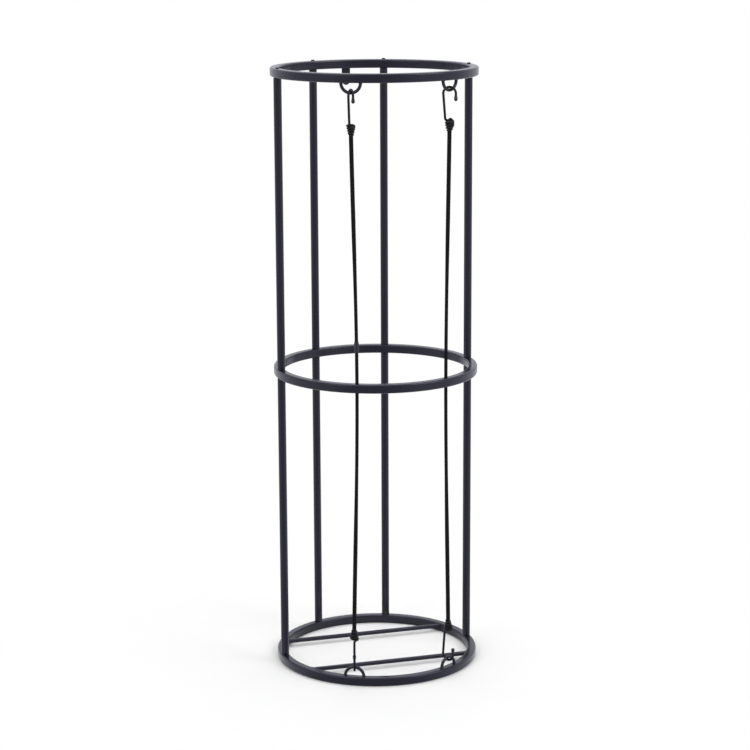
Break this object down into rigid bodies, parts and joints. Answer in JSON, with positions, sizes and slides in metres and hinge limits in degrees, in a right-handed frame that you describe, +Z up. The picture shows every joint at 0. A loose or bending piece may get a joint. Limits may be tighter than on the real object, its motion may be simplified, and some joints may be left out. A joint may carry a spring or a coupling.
{
  "type": "ball storage rack",
  "caption": "Free-standing upright ball rack: rings of square tube on round posts hold a column of balls, with hooked elastic cords across the front and rods under the lowest ball.",
  "frame": {"origin": "on the floor, at the middle of the rings", "axes": "+Z up along the column of balls, +X to the right, the open front with the cords towards -Y, the wall tab towards +Y"},
  "size_m": [0.325, 0.325, 0.9605],
  "materials": {
    "frame_coat": "fine satin powder coat",
    "wire_coat": "dipped satin black",
    "screw_black": "blackened steel",
    "insert_brass": "turned",
    "cord_black": "braided sheath over a rubber core",
    "sleeve_black": "matte"
  },
  "bodies": {
    "frame": {"bottom_ring": "frame_coat", "middle_ring": "frame_coat", "top_ring": "frame_coat", "lower_post_left": "frame_coat", "lower_post_right": "frame_coat", "lower_post_back_left": "frame_coat", "lower_post_back_right": "frame_coat", "upper_post_left": "frame_coat", "upper_post_right": "frame_coat", "upper_post_back_left": "frame_coat", "upper_post_back_right": "frame_coat", "lower_post_left_foot_insert": "insert_brass", "lower_post_left_head_insert": "insert_brass", "lower_post_right_foot_insert": "insert_brass", "lower_post_right_head_insert": "insert_brass", "lower_post_back_left_foot_insert": "insert_brass", "lower_post_back_left_head_insert": "insert_brass", "lower_post_back_right_foot_insert": "insert_brass", "lower_post_back_right_head_insert": "insert_brass", "upper_post_left_foot_insert": "insert_brass", "upper_post_left_head_insert": "insert_brass", "upper_post_right_foot_insert": "insert_brass", "upper_post_right_head_insert": "insert_brass", "upper_post_back_left_foot_insert": "insert_brass", "upper_post_back_left_head_insert": "insert_brass", "upper_post_back_right_foot_insert": "insert_brass", "upper_post_back_right_head_insert": "insert_brass", "top_screw_left": "screw_black", "top_screw_right": "screw_black", "top_screw_back_left": "screw_black", "top_screw_back_right": "screw_black", "joining_stud_left": "screw_black", "joining_stud_right": "screw_black", "joining_stud_back_left": "screw_black", "joining_stud_back_right": "screw_black", "bottom_screw_left": "screw_black", "bottom_screw_right": "screw_black", "bottom_screw_back_left": "screw_black", "bottom_screw_back_right": "screw_black", "support_rod_front": "frame_coat", "support_rod_back": "frame_coat", "wall_tab": "frame_coat", "cord_loop_top_left": "frame_coat", "cord_loop_top_right": "frame_coat", "cord_loop_bottom_left": "frame_coat", "cord_loop_bottom_right": "frame_coat", "elastic_cord_left": "cord_black", "elastic_cord_right": "cord_black", "cord_sleeve": "sleeve_black"},
    "hook_top_left": {"cord_hook_top_left": "wire_coat", "cord_knot_top_left": "cord_black"},
    "hook_top_right": {"cord_hook_top_right": "wire_coat", "cord_knot_top_right": "cord_black"},
    "hook_bottom_left": {"cord_hook_bottom_left": "wire_coat", "cord_knot_bottom_left": "cord_black"},
    "hook_bottom_right": {"cord_hook_bottom_right": "wire_coat", "cord_knot_bottom_right": "cord_black"}
  },
  "joints": [
    {"name": "hook_swing_top_left", "type": "hinge", "parent": "frame", "child": "hook_top_left", "pos_m": [-0.07775, -0.13467, 0.944], "axis": [-0.5, -0.866, 0], "range_deg": [-25, 25], "stiffness_Nm_per_rad": 1.2},
    {"name": "hook_swing_top_right", "type": "hinge", "parent": "frame", "child": "hook_top_right", "pos_m": [0.07775, -0.13467, 0.944], "axis": [0.5, -0.866, 0], "range_deg": [-25, 25], "stiffness_Nm_per_rad": 1.2},
    {"name": "hook_swing_bottom_left", "type": "hinge", "parent": "frame", "child": "hook_bottom_left", "pos_m": [-0.07775, -0.13467, 0.014], "axis": [-0.5, -0.866, 0], "range_deg": [-25, 25], "stiffness_Nm_per_rad": 1.2},
    {"name": "hook_swing_bottom_right", "type": "hinge", "parent": "frame", "child": "hook_bottom_right", "pos_m": [0.07775, -0.13467, 0.014], "axis": [0.5, -0.866, 0], "range_deg": [-25, 25], "stiffness_Nm_per_rad": 1.2}
  ]
}
